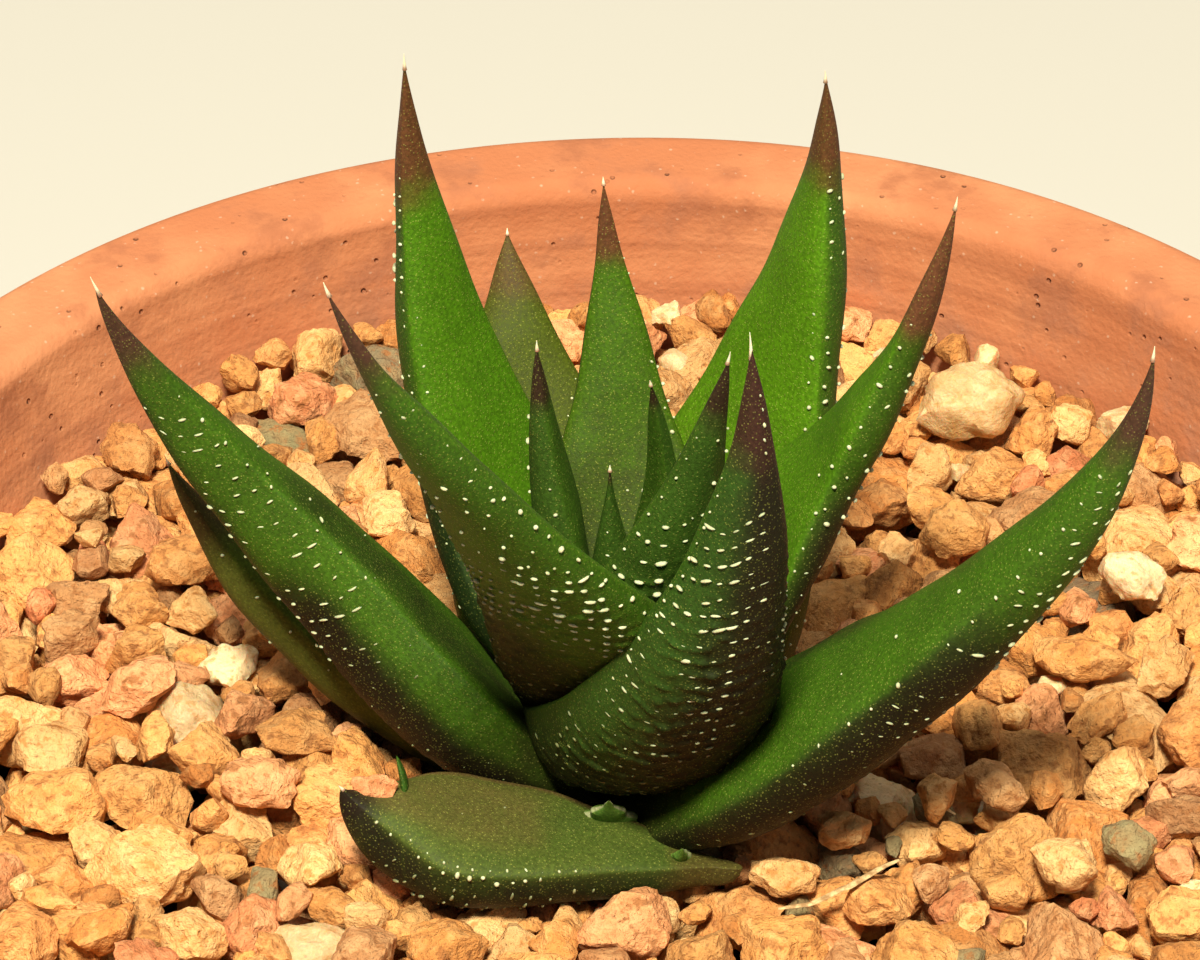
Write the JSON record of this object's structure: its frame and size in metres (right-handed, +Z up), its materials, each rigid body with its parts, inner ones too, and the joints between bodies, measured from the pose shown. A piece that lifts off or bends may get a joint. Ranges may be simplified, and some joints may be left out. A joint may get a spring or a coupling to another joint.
{
  "type": "potted haworthia",
  "caption": "Rosette of stiff, pointed, white-warted succulent leaves growing in coarse granite gravel in a plain round terracotta pot with a drainage hole.",
  "frame": {"origin": "centre of the pot's underside, on the pot's axis, on the surface it stands on", "axes": "+Z up along the pot's axis, -Y towards the front of the plant as pictured, +X to its right"},
  "size_m": [0.12, 0.12, 0.1222],
  "materials": {
    "terracotta": "unglazed fired clay, matt, with pale mineral bloom",
    "shard": "broken unglazed clay, rough",
    "potting_mix": "dark gritty peat and bark, rough",
    "gravel": "ochre to cream broken granite, rough",
    "cream_stone": "cream and ochre broken granite, rough",
    "rose_stone": "salmon-pink feldspar, rough",
    "brown_stone": "red-brown broken granite, rough",
    "quartz_stone": "pale translucent quartz, partly glossy",
    "grey_stone": "grey-green granite, rough",
    "leaf": "waxy green leaf, white warts, purple-brown tip",
    "young_leaf": "waxy dark green leaf, white warts",
    "old_leaf": "dull brownish green leaf",
    "offset_leaf": "dull olive green leaf, small warts",
    "stem": "pale brown fibrous stem",
    "root": "pale fleshy root"
  },
  "bodies": {
    "root": {"drainage_crock": "shard", "gravel_bed": "gravel", "leaf_back_centre": "leaf", "leaf_back_left": "leaf", "leaf_back_low": "old_leaf", "leaf_back_right": "leaf", "leaf_bud": "young_leaf", "leaf_front": "leaf", "leaf_front_left": "leaf", "leaf_hidden_back": "old_leaf", "leaf_hidden_right": "old_leaf", "leaf_inner_back": "young_leaf", "leaf_inner_left": "young_leaf", "leaf_inner_right": "young_leaf", "leaf_left_low": "leaf", "leaf_left_outer": "leaf", "leaf_right": "leaf", "leaf_right_outer": "leaf", "offset_leaf_left": "offset_leaf", "offset_leaf_long": "offset_leaf", "offset_leaf_middle": "offset_leaf", "offset_leaf_right": "offset_leaf", "offset_runner": "stem", "pot": "terracotta", "potting_mix": "potting_mix", "root_1": "root", "root_2": "root", "root_3": "root", "root_4": "root", "root_5": "root", "stem": "stem", "stone_beside_left_leaf": "cream_stone", "stone_beside_right_leaf": "cream_stone", "stone_big_front": "cream_stone", "stone_big_left": "cream_stone", "stone_big_right": "cream_stone", "stone_brown_long": "brown_stone", "stone_cream_front": "cream_stone", "stone_cream_right": "cream_stone", "stone_flat_orange": "cream_stone", "stone_grey_green": "grey_stone", "stone_quartz_back": "quartz_stone", "stone_quartz_right": "quartz_stone", "stone_rose_left": "rose_stone"}
  },
  "joints": []
}
